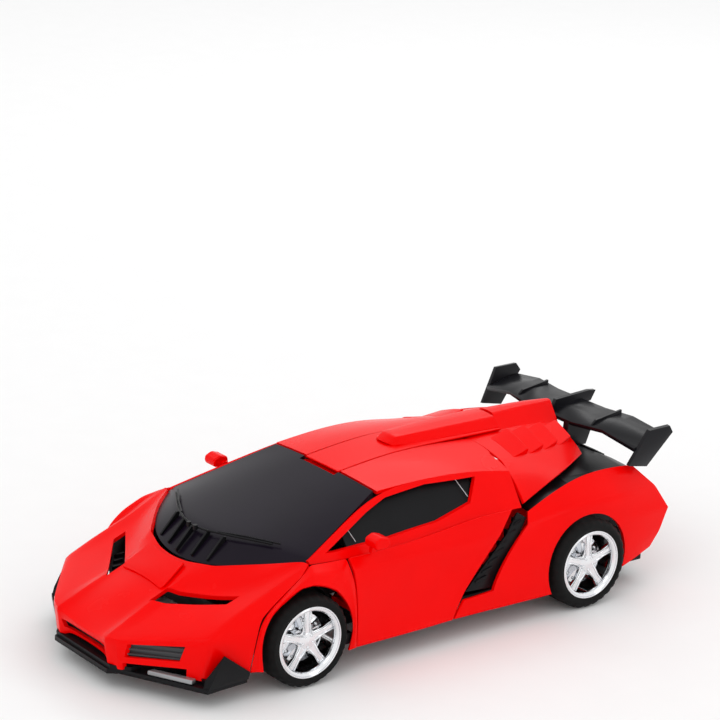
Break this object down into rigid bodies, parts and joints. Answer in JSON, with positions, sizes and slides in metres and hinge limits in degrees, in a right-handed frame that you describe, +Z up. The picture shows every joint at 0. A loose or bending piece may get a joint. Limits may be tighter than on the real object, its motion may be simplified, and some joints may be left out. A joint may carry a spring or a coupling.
{
  "type": "transforming robot car toy",
  "caption": "Wedge-shaped red toy sports car whose body stands up on a hip hinge into a robot, with folding hood chest, sliding arms carrying doors and wheels, rising head and roof crest.",
  "frame": {"origin": "on the ground at the centre of the bounding box in plan, in car mode", "axes": "+Z up, -Y towards the nose, +X towards the car's left flank"},
  "size_m": [0.1092, 0.2374, 0.066],
  "materials": {
    "red_gloss": "gloss",
    "black_satin": "satin",
    "silver_paint": "satin metallic",
    "chrome": "polished",
    "tyre": "matt",
    "steel": "satin",
    "smoked_plastic": "gloss",
    "dark_grey": "satin",
    "lens_red": "gloss",
    "charcoal": "satin",
    "cell": "gloss"
  },
  "bodies": {
    "base": {"base_chassis": "black_satin", "screws": "steel", "battery_door": "black_satin", "battery_pack": "cell", "left_boot": "red_gloss", "right_boot": "red_gloss", "drive_unit": "black_satin", "transform_motor": "steel", "left_rear_quarter": "red_gloss", "right_rear_quarter": "red_gloss", "left_side_intake": "black_satin", "right_side_intake": "black_satin", "rear_deck": "red_gloss", "hip_pins": "steel", "engine_grille": "black_satin", "tail_panel": "red_gloss", "tail_lights": "lens_red", "rear_diffuser": "black_satin", "rear_wing": "charcoal", "wing_supports": "charcoal"},
    "switch": {"power_switch": "black_satin"},
    "left_rear_wheel": {"left_rear_axle": "steel", "left_rear_rim": "chrome", "left_rear_tyre": "tyre"},
    "right_rear_wheel": {"right_rear_axle": "steel", "right_rear_rim": "chrome", "right_rear_tyre": "tyre"},
    "torso": {"torso_frame": "black_satin", "breastplate": "silver_paint", "torso_armor": "red_gloss", "pelvis_armor": "red_gloss", "pelvis_tip": "silver_paint", "thighs": "black_satin", "thigh_pistons": "silver_paint", "cabin_shell": "red_gloss", "windshield": "smoked_plastic", "left_side_window": "smoked_plastic", "right_side_window": "smoked_plastic", "crest_pin": "steel"},
    "crest": {"roof_crest": "red_gloss"},
    "head": {"helmet": "black_satin", "face_mask": "silver_paint", "neck_post": "black_satin"},
    "chest": {"hood_shell": "red_gloss", "grille_insert": "dark_grey", "hood_vents": "black_satin", "front_splitter": "black_satin", "left_fog_lamp": "dark_grey", "right_fog_lamp": "dark_grey", "shoulder_beam": "black_satin"},
    "left_arm": {"left_fender": "red_gloss", "left_arm_bar": "black_satin"},
    "right_arm": {"right_fender": "red_gloss", "right_arm_bar": "black_satin"},
    "left_door_wing": {"left_door": "red_gloss"},
    "right_door_wing": {"right_door": "red_gloss"},
    "left_front_wheel": {"left_front_rim": "chrome", "left_front_tyre": "tyre"},
    "right_front_wheel": {"right_front_rim": "chrome", "right_front_tyre": "tyre"}
  },
  "joints": [
    {"name": "stand_up", "type": "hinge", "parent": "base", "child": "torso", "pos_m": [0, 0.047, 0.06], "axis": [-1, 0, 0], "range_deg": [0, 90]},
    {"name": "chest_fold", "type": "hinge", "parent": "torso", "child": "chest", "pos_m": [0, -0.05, 0.029], "axis": [1, 0, 0], "range_deg": [0, 108.1]},
    {"name": "head_rise", "type": "slide", "parent": "torso", "child": "head", "axis": [0, -1, 0], "range_m": [0, 0.0271]},
    {"name": "crest_flip", "type": "hinge", "parent": "torso", "child": "crest", "pos_m": [0, -0.012, 0.0581], "axis": [1, 0, 0], "range_deg": [0, 155.1]},
    {"name": "left_arm_out", "type": "slide", "parent": "chest", "child": "left_arm", "axis": [1, 0, 0], "range_m": [0, 0.0401]},
    {"name": "right_arm_out", "type": "slide", "parent": "chest", "child": "right_arm", "axis": [-1, 0, 0], "range_m": [0, 0.0401]},
    {"name": "left_door_swing", "type": "hinge", "parent": "left_arm", "child": "left_door_wing", "pos_m": [0.04, -0.035, 0.035], "axis": [1, 0, 0], "range_deg": [0, 12.1]},
    {"name": "right_door_swing", "type": "hinge", "parent": "right_arm", "child": "right_door_wing", "pos_m": [-0.04, -0.035, 0.035], "axis": [1, 0, 0], "range_deg": [0, 12.1]},
    {"name": "left_front_spin", "type": "hinge", "parent": "left_arm", "child": "left_front_wheel", "pos_m": [0.048, -0.0572, 0.017], "axis": [1, 0, 0], "continuous": true},
    {"name": "right_front_spin", "type": "hinge", "parent": "right_arm", "child": "right_front_wheel", "pos_m": [-0.048, -0.0572, 0.017], "axis": [1, 0, 0], "continuous": true},
    {"name": "left_rear_spin", "type": "hinge", "parent": "base", "child": "left_rear_wheel", "pos_m": [0.047, 0.073, 0.0175], "axis": [1, 0, 0], "continuous": true},
    {"name": "right_rear_spin", "type": "hinge", "parent": "base", "child": "right_rear_wheel", "pos_m": [-0.047, 0.073, 0.0175], "axis": [1, 0, 0], "continuous": true},
    {"name": "power_slide", "type": "slide", "parent": "base", "child": "switch", "axis": [0, 1, 0], "range_m": [0, 0.0035]}
  ],
  "couplings": [
    {"joint": "chest_fold", "follows": "stand_up", "ratio": 1.2},
    {"joint": "head_rise", "follows": "stand_up", "m_per_rad": 0.017189},
    {"joint": "crest_flip", "follows": "stand_up", "ratio": 1.7222},
    {"joint": "left_arm_out", "follows": "stand_up", "m_per_rad": 0.025465},
    {"joint": "right_arm_out", "follows": "stand_up", "m_per_rad": 0.025465},
    {"joint": "left_door_swing", "follows": "stand_up", "ratio": 0.13333},
    {"joint": "right_door_swing", "follows": "stand_up", "ratio": 0.13333}
  ]
}
